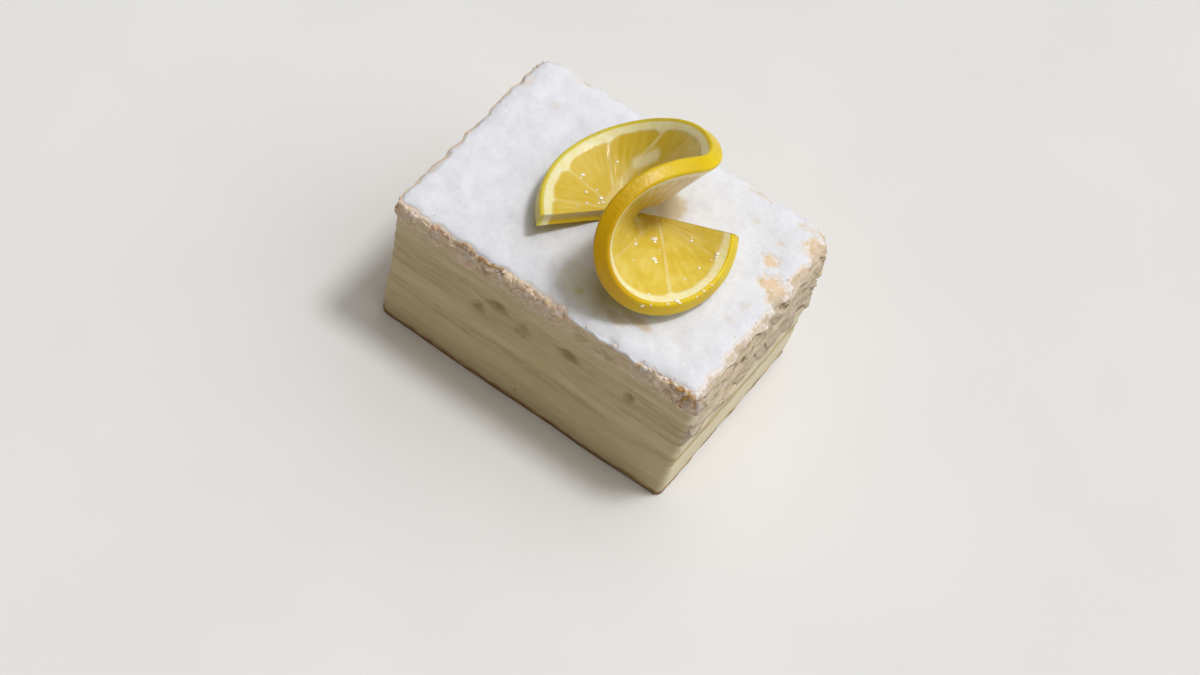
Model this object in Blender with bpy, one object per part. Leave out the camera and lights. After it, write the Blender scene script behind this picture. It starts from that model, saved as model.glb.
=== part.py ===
"""A slice of custard pastry with a twisted slice of lemon on it.

Four sheets of pastry and three layers of set cream are stacked with a hair's gap between them. X runs along
the long cut face that is seen from the front, Y runs away from it and Z runs up. The origin is the middle of
the underside. Lengths are millimetres until a mesh is made.
"""

import math
import random

import bmesh
import bpy
from mathutils import Matrix, Vector, noise

MM = 0.001
GAP = 0.3

# The slice in plan, and the rounding of its corners from the front left one, counter-clockwise.
LENGTH = 87.4
WIDTH = 60.6
CORNER_RADII = (2.5, 1.5, 6.5, 4.5)
CORNER_STEPS = 3
SIDE_STEPS = (30, 21, 13, 10)
SIDE_ALONG = ((1, 0), (0, 1), (-1, 0), (0, -1))
SIDE_OUTWARD = ((0, -1), (1, 0), (0, 1), (-1, 0))

# Heights of the joints between the layers, from the floor to the mean top of the upper sheet.
JOINTS = (0.0, 2.6, 14.1, 17.9, 24.0, 33.9, 38.1, 46.3)
JOINT_WAVE = 0.55
JOINT_RIPPLE = 0.25
TOP_HILLS = 0.55
TOP_PITTING = 0.22
EDGE_FALL = 1.1
EDGE_REACH = 1.6
PUFF = (36.5, 22.5, 7.0, 0.9)
JOINT_RINGS = (1.0, 0.9)

# The right end leans in towards its foot: how far at the floor, and up to which height.
END_LEAN = 2.7
END_LEAN_TOP = 36.0

TOP_RINGS = (1.0, 0.965, 0.91, 0.82, 0.66, 0.42)

# Each layer from the bottom up: its name, how far it stands out on the front, right, back and left, how much
# it bulges, how deep its flaking is on a cut face and on the right end, the steps up its wall, and its colour.
LAYERS = (
    ("pastry_base", (0.2, 0.1, 0.2, 1.6), 0.0, 0.35, 0.5, 2, (0.42, 0.27, 0.11)),
    ("cream_lower", (0.1, 0.2, 0.0, 1.5), 0.35, 0.10, 0.35, 3, (0.86, 0.77, 0.52)),
    ("pastry_third", (0.0, 0.1, 0.0, 0.9), 0.0, 0.22, 0.5, 2, (0.66, 0.52, 0.30)),
    ("cream_middle", (0.1, 0.2, 0.1, 0.5), 0.30, 0.10, 0.35, 2, (0.86, 0.77, 0.52)),
    ("pastry_second", (0.0, 0.3, 0.0, 0.2), 0.0, 0.25, 1.2, 6, (0.70, 0.58, 0.36)),
    ("cream_upper", (0.1, 0.1, 0.1, 0.0), 0.20, 0.10, 0.60, 2, (0.86, 0.77, 0.52)),
    ("pastry_top", (0.2, 0.4, 0.2, 0.0), 0.0, 0.30, 1.2, 5, (0.76, 0.60, 0.40)),
)
ROUNDING = 0.3
LIP_START = 0.7
LIP_RAGGED = 0.9
LIP_CRUMBLE = 1.1

# Hollows that show in the front cut face of the second sheet: place along, height, half width, half height.
PITS = ((-11.7, 31.6, 3.2, 1.9), (-4.4, 29.8, 2.5, 3.6), (-17.2, 27.4, 2.3, 2.2), (9.2, 31.2, 3.5, 1.7),
        (27.0, 30.4, 1.9, 2.1))
PIT_DEPTH = 1.3

# Flakes on the edge of the upper sheet, and on the right end of the second one: how many on each side.
TOP_FLAKES = (17, 13, 7, 6)
SECOND_FLAKES = (0, 8, 0, 0)
FLAKE_SEED = 11
FLAKE_ROOT = 0.7
FLAKE_WIDTH = (3.0, 7.5)
FLAKE_LENGTH = (1.8, 3.6)
FLAKE_THICKNESS = (0.5, 0.8)
FLAKE_LIFT = (0.3, 0.8)
FLAKE_TWIST = 0.35

# The lemon: a round slice, slit nearly to its middle and twisted. It is a cone whose point is the slit's end
# and whose edge turns as it goes round.
LEMON_RADIUS = 28.2
LEMON_THICKNESS = 3.9
LEMON_SLIT_END = (2.4, 3.9)
LEMON_MIDDLE = (-1.0, -6.2)
LEMON_START_AZIMUTH = 236.8
LEMON_START_RISE = 12.2
LEMON_START_CLIMB = 0.4
# Where the slice bends, in degrees round it, with the reach and the sharpness of each bend.
LEMON_BENDS = ((111.0, 70.4, -0.836), (189.6, 11.2, -2.80), (266.0, 51.6, 1.894), (342.8, 13.2, 1.235))
LEMON_STEPS = 60
LEMON_RIM_ROUNDING = 0.7
LEMON_PINCH_START = 1.0
LEMON_PINCH_END = 9.0
LEMON_PINCH_HALF = 0.3
LEMON_RINGS = (1.0, 4.5, 9.0, 15.0, 21.5)
LEMON_COLOUR = (0.88, 0.66, 0.06)


def clear_scene():
    for obj in list(bpy.data.objects):
        bpy.data.objects.remove(obj, do_unlink=True)


def smooth(low, high, value):
    """Goes softly from 0 at low to 1 at high."""
    t = min(max((value - low) / (high - low), 0.0), 1.0)
    return t * t * (3.0 - 2.0 * t)


def ripple(x, y, z=0.0):
    """An even, repeatable unevenness between about -1 and 1."""
    return noise.noise(Vector((x, y, z)))


def plan_outline():
    """Points of the plain outline in plan with their outward directions, from the front left corner."""
    half = (LENGTH / 2, WIDTH / 2)
    corners = ((-half[0], -half[1]), (half[0], -half[1]), (half[0], half[1]), (-half[0], half[1]))
    outline = []
    for side in range(4):
        after = (side + 1) % 4
        along = Vector(SIDE_ALONG[side])
        outward = Vector(SIDE_OUTWARD[side])
        radius = CORNER_RADII[after]
        start = Vector(corners[side]) + along * CORNER_RADII[side]
        end = Vector(corners[after]) - along * radius
        for step in range(SIDE_STEPS[side]):
            outline.append((start.lerp(end, step / SIDE_STEPS[side]), outward.copy()))
        centre = end - outward * radius
        for step in range(CORNER_STEPS):
            turn = math.pi / 2 * step / CORNER_STEPS
            direction = outward * math.cos(turn) + along * math.sin(turn)
            outline.append((centre + direction * radius, direction))
    return outline


def side_shares(outward):
    """How much a point belongs to the front, right, back and left."""
    return [max(outward.dot(Vector(side)), 0.0) ** 2 for side in SIDE_OUTWARD]


def joint_height(joint, x, y):
    """The height of the joint between two layers; the floor is flat."""
    if joint == 0:
        return 0.0
    if joint == len(JOINTS) - 1:
        return top_height(x, y)
    wave = JOINT_WAVE * ripple(x / 26.0, y / 26.0, 7.0 * joint)
    fine = JOINT_RIPPLE * ripple(x / 7.0, y / 7.0, 5.0 * joint + 2.5)
    share = 0.5 if joint == 1 else 1.0
    return JOINTS[joint] + share * (wave + fine)


def top_height(x, y):
    """The upper sheet's top: softly uneven, falling at its edges and puffed up at the far right corner."""
    height = JOINTS[-1] + TOP_HILLS * ripple(x / 17.0, y / 17.0, 41.0) + TOP_PITTING * ripple(x / 4.5, y / 4.5, 3.0)
    inside = min(LENGTH / 2 - abs(x), WIDTH / 2 - abs(y))
    height -= EDGE_FALL * math.exp(-max(inside, 0.0) / EDGE_REACH)
    across = math.hypot(x - PUFF[0], y - PUFF[1]) / PUFF[2]
    return height + PUFF[3] * math.exp(-across * across)


def pit_depth(x, z):
    """How deep the hollows of the second sheet's cut face are at a place on it."""
    deep = 0.0
    for pit_x, pit_z, half_width, half_height in PITS:
        across = math.hypot((x - pit_x) / half_width, (z - pit_z) / half_height)
        deep = max(deep, PIT_DEPTH * (1.0 - smooth(0.35, 1.15, across)))
    return deep


def end_lean(x, z):
    """How far the right end leans in at a place; it fades out towards the middle of the slice."""
    return END_LEAN * max(1.0 - z / END_LEAN_TOP, 0.0) * smooth(0.0, LENGTH / 2, x)


def stand_out(layer, point, outward, z, level):
    """How far a layer's wall stands out of the plain outline at a point and a height."""
    name, stands, bulge, cut_flaking, end_flaking, _, _ = layer
    shares = side_shares(outward)
    out = sum(share * stand for share, stand in zip(shares, stands))
    out += 0.35 * ripple(point.x / 21.0, point.y / 21.0, z / 30.0)
    out += bulge * math.sin(math.pi * level)
    flaking = cut_flaking + (end_flaking - cut_flaking) * shares[1]
    run = point.x * abs(outward.y) + point.y * abs(outward.x)
    out += flaking * ripple(run / 5.5, z / 1.35, 17.0) + 0.6 * flaking * ripple(run / 2.4, z / 2.1, 29.0)
    if level in (0.0, 1.0):
        out -= ROUNDING
    if name == "pastry_second":
        out -= shares[0] * pit_depth(point.x, z)
    if name == "pastry_top":
        out += LIP_RAGGED * smooth(LIP_START, 1.0, level) * ripple(run / 3.6, 53.0, 1.0)
    return out


def lip_drop(layer, point, outward, level):
    """How much the ragged upper edge has crumbled down."""
    if layer[0] != "pastry_top" or level < 1.0:
        return 0.0
    run = point.x * abs(outward.y) + point.y * abs(outward.x)
    return LIP_CRUMBLE * max(ripple(run / 4.4, 61.0, 2.0), 0.0)


def layer_rows(number, outline):
    """Rings of points up a layer's wall."""
    layer = LAYERS[number]
    steps = layer[5]
    low_gap = 0.0 if number == 0 else GAP / 2
    high_gap = 0.0 if number == len(LAYERS) - 1 else GAP / 2
    rows = []
    for step in range(steps + 1):
        level = step / steps
        row = []
        for point, outward in outline:
            low = joint_height(number, point.x, point.y) + low_gap
            high = joint_height(number + 1, point.x, point.y) - high_gap
            z = low + (high - low) * level
            place = point + outward * stand_out(layer, point, outward, z, level)
            x = place.x - end_lean(point.x, z)
            row.append(Vector((x, place.y, z - lip_drop(layer, point, outward, level))))
        rows.append(row)
    return rows


def cap_rows(edge, joint, lift, rings):
    """Rings from an edge towards the middle, at the height of a joint, and the middle point."""
    rows = []
    for share in rings[1:]:
        row = []
        for point in edge:
            x, y = point.x * share, point.y * share
            row.append(Vector((x, y, joint_height(joint, x, y) + lift)))
        rows.append(row)
    middle = Vector((0.0, 0.0, joint_height(joint, 0.0, 0.0) + lift))
    return rows, middle


def add_ring_faces(mesh, lower, upper):
    count = len(lower)
    for i in range(count):
        after = (i + 1) % count
        mesh.faces.new((lower[i], lower[after], upper[after]))
        mesh.faces.new((lower[i], upper[after], upper[i]))


def add_fan(mesh, ring, middle, facing_up):
    count = len(ring)
    for i in range(count):
        after = (i + 1) % count
        corners = (ring[i], ring[after], middle) if facing_up else (ring[after], ring[i], middle)
        mesh.faces.new(corners)


def build_layer(number, outline):
    """One closed layer: its underside from the middle out, its wall, and its top back to the middle."""
    layer = LAYERS[number]
    wall = layer_rows(number, outline)
    last = number == len(LAYERS) - 1
    low_lift = 0.0 if number == 0 else GAP / 2
    high_lift = 0.0 if last else -GAP / 2
    under, under_middle = cap_rows(wall[0], number, low_lift, JOINT_RINGS)
    over, over_middle = cap_rows(wall[-1], number + 1, high_lift, TOP_RINGS if last else JOINT_RINGS)
    mesh = bmesh.new()
    rings = []
    for row in under[::-1] + wall + over:
        rings.append([mesh.verts.new(point * MM) for point in row])
    for lower, upper in zip(rings, rings[1:]):
        add_ring_faces(mesh, lower, upper)
    add_fan(mesh, rings[-1], mesh.verts.new(over_middle * MM), True)
    add_fan(mesh, rings[0], mesh.verts.new(under_middle * MM), False)
    return make_object(layer[0], mesh, layer[6], 0.8)


def make_object(name, mesh, colour, roughness):
    """An object from a bmesh, with a material of its own."""
    data = bpy.data.meshes.new(name)
    mesh.to_mesh(data)
    mesh.free()
    data.shade_smooth()
    material = bpy.data.materials.new(name)
    material.use_nodes = True
    shader = material.node_tree.nodes["Principled BSDF"]
    shader.inputs["Base Color"].default_value = (*colour, 1.0)
    shader.inputs["Roughness"].default_value = roughness
    shader.inputs["Metallic"].default_value = 0.0
    data.materials.append(material)
    obj = bpy.data.objects.new(name, data)
    bpy.context.scene.collection.objects.link(obj)
    return obj


def make_flake(name, root, outward, size, lift, twist, colour):
    """A thin bent scrap of pastry, rooted inside the wall, that hangs down against it with a lifted tip."""
    width, length, thick = size
    along = Vector((-outward.y, outward.x, 0.0))
    out = Vector((outward.x, outward.y, 0.0))
    lean = Matrix.Rotation(twist, 3, out)
    stations = ((-FLAKE_ROOT, 0.4, 0.8), (0.45 * lift, -0.45 * length, 1.0), (lift, -length, 0.5))
    mesh = bmesh.new()
    rows = []
    for reach, fall, share in stations:
        for side in (-0.5, 0.5):
            slide = lean @ (along * (side * width * share) + Vector((0.0, 0.0, fall)))
            place = root + slide + out * reach
            outer = mesh.verts.new((place + out * (thick / 2)) * MM)
            inner = mesh.verts.new((place - out * (thick / 2)) * MM)
            rows.append((outer, inner))
    for first in (0, 2):
        a, b, c, d = rows[first], rows[first + 1], rows[first + 3], rows[first + 2]
        mesh.faces.new((a[0], b[0], c[0], d[0]))
        mesh.faces.new((d[1], c[1], b[1], a[1]))
        mesh.faces.new((a[1], a[0], d[0], d[1]))
        mesh.faces.new((b[0], b[1], c[1], c[0]))
    mesh.faces.new((rows[0][0], rows[0][1], rows[1][1], rows[1][0]))
    mesh.faces.new((rows[5][0], rows[5][1], rows[4][1], rows[4][0]))
    bmesh.ops.triangulate(mesh, faces=mesh.faces[:])
    bmesh.ops.recalc_face_normals(mesh, faces=mesh.faces[:])
    return make_object(name, mesh, colour, 0.8)


def flake_places(counts, outline, draw):
    """Places round the outline for the flakes of each side, evenly spread with a little chance."""
    for side, count in enumerate(counts):
        on_side = [place for place in outline if side_shares(place[1])[side] > 0.9]
        for number in range(count):
            share = (number + 0.5 + draw.uniform(-0.35, 0.35)) / count
            yield on_side[min(int(share * len(on_side)), len(on_side) - 1)]


def fuse_flakes(sheet, layer_number, counts, outline, levels, draw):
    """Joins a collection of flakes to a sheet with one union."""
    layer = LAYERS[layer_number]
    scraps = bpy.data.collections.new(sheet.name + "_flakes")
    bpy.context.scene.collection.children.link(scraps)
    for number, (point, outward) in enumerate(flake_places(counts, outline, draw)):
        level = draw.uniform(*levels)
        low = joint_height(layer_number, point.x, point.y)
        high = joint_height(layer_number + 1, point.x, point.y)
        z = low + (high - low) * level
        wall = stand_out(layer, point, outward, z, level)
        place = point + outward * wall
        size = (draw.uniform(*FLAKE_WIDTH), draw.uniform(*FLAKE_LENGTH), draw.uniform(*FLAKE_THICKNESS))
        lift = draw.uniform(*FLAKE_LIFT)
        twist = draw.uniform(-FLAKE_TWIST, FLAKE_TWIST)
        root = Vector((place.x - end_lean(point.x, z), place.y, z))
        scrap = make_flake(f"{sheet.name}_flake_{number}", root, outward, size, lift, twist, layer[6])
        bpy.context.scene.collection.objects.unlink(scrap)
        scraps.objects.link(scrap)
    union = sheet.modifiers.new("flakes", "BOOLEAN")
    union.operand_type = "COLLECTION"
    union.collection = scraps
    union.operation = "UNION"
    apply_modifiers(sheet)
    keep_main_shell(sheet)
    for scrap in list(scraps.objects):
        bpy.data.objects.remove(scrap, do_unlink=True)
    bpy.data.collections.remove(scraps)


def apply_modifiers(obj):
    graph = bpy.context.evaluated_depsgraph_get()
    data = bpy.data.meshes.new_from_object(obj.evaluated_get(graph))
    obj.modifiers.clear()
    obj.data = data


def shells_of(mesh):
    """The connected shells of a mesh, each a list of its faces."""
    waiting = set(mesh.faces)
    shells = []
    while waiting:
        shell = [waiting.pop()]
        for face in shell:
            for edge in face.edges:
                beside = waiting.intersection(edge.link_faces)
                shell.extend(beside)
                waiting -= beside
        shells.append(shell)
    return shells


def shell_volume(shell):
    return sum(face.verts[0].co.dot(face.normal) * face.calc_area() for face in shell) / 3.0


def keep_main_shell(obj):
    """Fills hollows that the union sealed and drops loose scraps, by keeping only the largest shell."""
    mesh = bmesh.new()
    mesh.from_mesh(obj.data)
    mesh.normal_update()
    shells = sorted(shells_of(mesh), key=shell_volume)
    spare = [face for shell in shells[:-1] for face in shell]
    bmesh.ops.delete(mesh, geom=spare, context="FACES")
    bmesh.ops.triangulate(mesh, faces=mesh.faces[:])
    mesh.to_mesh(obj.data)
    mesh.free()


def lemon_bend(angle):
    """How fast the slice turns out of its own plane, by the place round it in radians."""
    degrees = math.degrees(angle)
    return sum(sharp * math.exp(-(((degrees - place) / reach) ** 2)) for place, reach, sharp in LEMON_BENDS)


def lemon_frames(steps):
    """For each step round the slice: the direction from the slit's end to the rim, and the one across it."""
    azimuth = math.radians(LEMON_START_AZIMUTH)
    rise = math.radians(LEMON_START_RISE)
    climb = math.radians(LEMON_START_CLIMB)
    level = Vector((math.cos(azimuth), math.sin(azimuth), 0.0))
    spoke = level * math.cos(rise) + Vector((0.0, 0.0, math.sin(rise)))
    onward = Vector((math.sin(azimuth), -math.cos(azimuth), 0.0)) * math.cos(climb)
    onward += Vector((0.0, 0.0, math.sin(climb)))
    onward = (onward - spoke * onward.dot(spoke)).normalized()
    across = spoke.cross(onward)
    frames = [(spoke, across)]
    turn = 2.0 * math.pi / steps
    parts = 4
    for step in range(steps * parts):
        bend = lemon_bend((step + 0.5) * turn / parts)
        axis = (across + spoke * bend) * (turn / parts)
        roll = Matrix.Rotation(axis.length, 3, axis.normalized())
        spoke, onward, across = roll @ spoke, roll @ onward, roll @ across
        if (step + 1) % parts == 0:
            frames.append((spoke, across))
    return frames


def lemon_reach(angle):
    """How far the rim is from the slit's end, by the place round the slice in radians."""
    towards = LEMON_MIDDLE[0] * math.cos(angle) + LEMON_MIDDLE[1] * math.sin(angle)
    aside = LEMON_MIDDLE[0] * math.sin(angle) - LEMON_MIDDLE[1] * math.cos(angle)
    return towards + math.sqrt(LEMON_RADIUS * LEMON_RADIUS - aside * aside)


def lemon_section(angle):
    """The slice's outline across its thickness, from the slit's end out: (radius, height) going round once."""
    half = LEMON_THICKNESS / 2
    rim = lemon_reach(angle)
    upper = []
    for ring in LEMON_RINGS:
        share = smooth(LEMON_PINCH_START, LEMON_PINCH_END, ring)
        upper.append((ring * rim / LEMON_RADIUS, LEMON_PINCH_HALF + (half - LEMON_PINCH_HALF) * share))
    upper.append((rim - LEMON_RIM_ROUNDING, half))
    upper.append((rim, half - LEMON_RIM_ROUNDING))
    lower = [(radius, -height) for radius, height in upper[::-1]]
    return upper + lower


def settle(points):
    """Lets the slice down until it is a hair's gap above the pastry."""
    clear = min(point.z - top_height(point.x, point.y) for point in points)
    return GAP - clear


def build_lemon():
    slit_end = Vector((*LEMON_SLIT_END, JOINTS[-1]))
    rows = []
    for step, (spoke, across) in enumerate(lemon_frames(LEMON_STEPS)):
        section = lemon_section(2.0 * math.pi * step / LEMON_STEPS)
        rows.append([slit_end + spoke * radius + across * height for radius, height in section])
    lift = Vector((0.0, 0.0, settle([point for row in rows for point in row])))
    mesh = bmesh.new()
    rings = [[mesh.verts.new((point + lift) * MM) for point in row] for row in rows]
    for before, after in zip(rings, rings[1:]):
        add_ring_faces(mesh, before, after)
    half = len(rings[0]) // 2
    for end in (rings[0], rings[-1]):
        for i in range(half - 1):
            mesh.faces.new((end[i], end[i + 1], end[-2 - i], end[-1 - i]))
    bmesh.ops.triangulate(mesh, faces=[face for face in mesh.faces if len(face.verts) > 3])
    bmesh.ops.recalc_face_normals(mesh, faces=mesh.faces[:])
    return make_object("lemon_twist", mesh, LEMON_COLOUR, 0.35)


def centre_on_origin(objects):
    """Moves everything so that the whole is centred over the origin in plan."""
    corners = [vertex.co for obj in objects for vertex in obj.data.vertices]
    middle_x = (min(corner.x for corner in corners) + max(corner.x for corner in corners)) / 2
    middle_y = (min(corner.y for corner in corners) + max(corner.y for corner in corners)) / 2
    for obj in objects:
        obj.data.transform(Matrix.Translation((-middle_x, -middle_y, 0.0)))


def main():
    clear_scene()
    outline = plan_outline()
    objects = [build_layer(number, outline) for number in range(len(LAYERS))]
    draw = random.Random(FLAKE_SEED)
    fuse_flakes(objects[4], 4, SECOND_FLAKES, outline, (0.55, 0.9), draw)
    fuse_flakes(objects[6], 6, TOP_FLAKES, outline, (0.6, 0.9), draw)
    objects.append(build_lemon())
    centre_on_origin(objects)


main()
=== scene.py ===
"""How the custard slice looks: pastry sheets and set cream under icing sugar, with a twist of lemon.

Each layer repeats the form of its solid at a finer grain, so its walls carry leaves, pores and hollows. The
sugar, the loose flakes and crumbs and the lemon's wet beads are pieces of their own; the beads are nearly
white, as painted glints. Lengths are millimetres until a mesh is made.
"""

import math
import random
from collections import namedtuple

import bpy
import numpy as np
from mathutils import Matrix, Vector, noise
from mathutils.bvhtree import BVHTree


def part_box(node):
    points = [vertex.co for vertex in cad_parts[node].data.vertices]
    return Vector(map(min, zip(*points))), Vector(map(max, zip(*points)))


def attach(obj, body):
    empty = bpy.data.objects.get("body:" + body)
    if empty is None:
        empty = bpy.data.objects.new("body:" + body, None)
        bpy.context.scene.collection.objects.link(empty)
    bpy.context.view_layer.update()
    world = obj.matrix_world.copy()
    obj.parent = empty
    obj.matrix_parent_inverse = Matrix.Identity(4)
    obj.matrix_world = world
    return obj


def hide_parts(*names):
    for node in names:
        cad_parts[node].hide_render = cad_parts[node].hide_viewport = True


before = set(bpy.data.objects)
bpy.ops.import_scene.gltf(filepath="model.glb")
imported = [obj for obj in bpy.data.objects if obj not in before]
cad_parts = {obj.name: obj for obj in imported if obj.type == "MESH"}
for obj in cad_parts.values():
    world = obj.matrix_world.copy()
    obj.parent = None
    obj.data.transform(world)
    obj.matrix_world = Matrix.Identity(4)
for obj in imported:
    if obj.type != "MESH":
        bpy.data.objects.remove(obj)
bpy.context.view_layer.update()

MM = 0.001

# The slice in plan, and the rounding of its corners from the front left one, counter-clockwise.
LENGTH = 87.4
WIDTH = 60.6
CORNER_SIGNS = ((-1, -1), (1, -1), (1, 1), (-1, 1))
CORNER_RADII = (2.5, 1.5, 6.5, 4.5)
COLUMNS_ALONG = 290
COLUMNS_ACROSS = 200
ROW_STEP = 0.33

# Heights of the joints between the layers, and the unevenness of the joints and of the top. Each wave of the
# top has a height, a size and a seed. The puffed corner has a place, two half lengths and a height.
JOINTS = (0.0, 2.6, 14.1, 17.9, 24.0, 33.9, 38.1, 46.3)
JOINT_WAVE = 0.55
JOINT_RIPPLE = 0.25
TOP_WAVES = ((0.55, 17.0, 41.0), (0.22, 4.5, 3.0))
BLISTERS = ((0.06, 2.0, 62.0), (0.02, 0.7, 63.0))
EDGE_FALL = 1.1
EDGE_REACH = 1.6
PUFF = (36.5, 22.5, 7.0, 7.0)
PUFF_HEIGHT = 0.9
# The seam between two layers, and the place of the ring of points on the faces that it hides.
SEAM = 0.004
CAP_SHARE = 0.9
# Edges that turn by more than this are hard, on the cut layers and on the upper sheet.
CUT_CREASE = 60.0
TOP_CREASE = 78.0
# The right end leans in towards its foot: how far at the floor, and up to which height.
END_LEAN = 2.7
END_LEAN_TOP = 36.0

# Each layer from the bottom up: its name, how far it stands out on the front, right, back and left, how much
# it bulges, and how deep its flaking is on a cut face and on the right end.
LAYERS = (
    ("pastry_base", (0.2, 0.1, 0.2, 1.6), 0.0, 0.35, 0.5),
    ("cream_lower", (0.1, 0.2, 0.0, 1.5), 0.35, 0.10, 0.35),
    ("pastry_third", (0.0, 0.1, 0.0, 0.9), 0.0, 0.22, 0.5),
    ("cream_middle", (0.1, 0.2, 0.1, 0.5), 0.30, 0.10, 0.35),
    ("pastry_second", (0.0, 0.3, 0.0, 0.2), 0.0, 0.25, 1.2),
    ("cream_upper", (0.1, 0.1, 0.1, 0.0), 0.20, 0.10, 0.60),
    ("pastry_top", (0.2, 0.4, 0.2, 0.0), 0.0, 0.30, 1.2),
)
SECOND_SHEET = 4
TOP_LAYER = 6
# The height of one baked leaf. The lip: from which level it is ragged, how much, and how far it has crumbled.
LEAF_PITCH = 1.9
LIP_START = 0.7
LIP_RAGGED = 0.9
LIP_CRUMBLE = 1.1

# Hollows in the front cut face of the second sheet: place along, height, half width, half height.
PITS = ((-11.7, 31.6, 3.2, 1.9), (-4.4, 29.8, 2.5, 3.6), (-17.2, 27.4, 2.3, 2.2), (9.2, 31.2, 3.5, 1.7),
        (27.0, 30.4, 1.9, 2.1))
PIT_DEPTH = 1.3
# A spot of bare yellow custard on the right end: place along it, height, half width and half height.
YOLK_SPOT = (-18.1, 18.6, 1.35, 0.9)

# The dusting of sugar: its depth and unevenness, the fray of its edges, how far it dips where it is bare, and
# the levels of its rows down the lip.
SUGAR_DEPTH = 0.26
SUGAR_WAVES = ((0.10, 8.0, 71.0), (0.05, 2.6, 72.0), (0.03, 1.0, 73.0), (0.02, 0.45, 74.0))
BARE_FRAY = ((0.5, 2.6, 81.0), (0.3, 0.9, 82.0))
JUICE_AND_SHADOW_FRAY = ((0.35, 2.2, 84.0), (0.1, 0.7, 85.0))
SUGAR_DIP = 0.22
SUGAR_LEVELS = (0.84, 0.88, 0.92, 0.96)
# Stretches of the front lip, from and to along it: how far in the sugar is bare, how brown the crust is, and
# how far down the cut it is brown. Then the places of these three in each stretch.
FRONT_LIP = ((-45.0, -41.0, 0.3, 0.45, 2.5), (-41.0, -30.0, 0.9, 0.42, 4.8), (-30.0, -21.0, 0.4, 0.60, 2.4),
             (-21.0, -12.0, 0.3, 0.74, 2.0), (-12.0, -4.5, 0.8, 0.50, 3.2), (-4.5, 6.0, 1.1, 0.48, 5.0),
             (6.0, 10.0, 0.0, 0.40, 1.6), (10.0, 27.0, -0.4, 0.10, 0.6), (27.0, 33.0, 0.3, 0.40, 1.6),
             (33.0, 38.0, 0.6, 0.64, 2.6), (38.0, 46.0, 0.8, 0.96, 7.5))
LIP_BARE, LIP_BROWN, LIP_DOWN = 2, 3, 4
# Bare patches on the top: place, half lengths, and how bare.
BARE_PATCHES = ((35.4, 13.8, 3.0, 1.9, 1.1), (38.4, 8.4, 3.2, 2.4, 1.2), (41.6, 5.4, 2.4, 2.8, 1.2),
                (42.8, 14.5, 1.4, 5.0, 0.8), (40.8, 24.0, 3.2, 3.6, 0.95), (36.8, 28.0, 3.5, 1.6, 0.6),
                (43.2, -4.0, 1.0, 5.0, 0.6), (43.0, -16.0, 0.8, 6.0, 0.4), (34.5, 19.0, 1.2, 0.8, 0.3),
                (-41.5, 20.0, 1.5, 3.0, 0.3), (-42.6, -14.0, 0.7, 6.0, 0.4), (-32.0, 29.6, 5.0, 0.7, 0.35),
                (21.0, 29.6, 6.0, 0.8, 0.45))
# Sugar wet with juice, and painted shadow under the lemon's rind and arch: place, half lengths, how strong,
# and whether it is more green (0) or amber (1).
JUICE_AND_SHADOW_SPOTS = ((5.3, -23.5, 1.7, 1.3, 1.0, 0.0), (7.0, -21.0, 8.0, 7.0, 0.35, 0.1),
             (16.5, -24.4, 3.6, 1.6, 0.5, 1.0), (21.0, -21.8, 4.4, 1.3, 0.6, 1.0),
             (12.0, -24.4, 4.0, 2.2, 0.4, 0.6), (4.0, 9.5, 5.0, 6.0, 0.7, 0.5),
             (7.4, 11.0, 4.6, 5.0, 0.75, 0.85), (26.2, 21.2, 1.1, 0.9, 0.45, 0.0),
             (37.2, -7.4, 1.6, 1.3, 0.2, 0.9), (37.6, -1.4, 1.2, 1.2, 0.2, 0.9),
             (-31.9, 18.4, 1.4, 1.1, 0.2, 0.6))
# Clumps of sugar on the front lip: place along it, and half width.
LIP_CLUMPS = ((12.6, 0.55), (13.4, 0.45), (14.2, 0.35), (19.8, 0.45), (20.5, 0.6), (21.3, 0.4), (26.2, 0.35),
              (8.6, 0.4), (-27.4, 0.35), (-11.8, 0.4), (34.6, 0.45))
CRUMB_SEED = 3
CRUMB_COUNT = 36

# Flakes as the solids have them: how many on each side, the levels of their roots, and the range of each
# measure. Then the steps of the solids' outline on each side.
TOP_FLAKES = (17, 13, 7, 6)
TOP_FLAKE_LEVELS = (0.6, 0.9)
SECOND_FLAKES = (0, 8, 0, 0)
SECOND_FLAKE_LEVELS = (0.55, 0.9)
FLAKE_SEED = 11
FLAKE_ROOT = 0.7
FLAKE_WIDTH = (3.0, 7.5)
FLAKE_LENGTH = (1.8, 3.6)
FLAKE_THICKNESS = (0.5, 0.8)
FLAKE_LIFT = (0.3, 0.8)
FLAKE_TWIST = 0.35
SOLID_STEPS = (30, 21, 13, 10)
# Points of a fine leaf and of a lump. The strands of the flaky end: how many, their points, the layers that
# they lie on, and the ranges of level, middle, half length, height, depth, seed and tone.
LEAF_ROWS = 8
LEAF_COLUMNS = 10
LUMP_RINGS = 7
LUMP_SIDES = 10
STRAND_COUNT = 34
STRAND_STEPS = 29
STRAND_SIDES = 8
STRAND_LAYERS = (4, 4, 5, 6, 6, 6)
STRAND_RANGES = ((0.08, 0.97), (-26.0, 24.0), (4.0, 12.0), (0.3, 0.75), (0.5, 1.1), (0.0, 90.0), (0.0, 0.4))
EXTRA_SEED = 5
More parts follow.
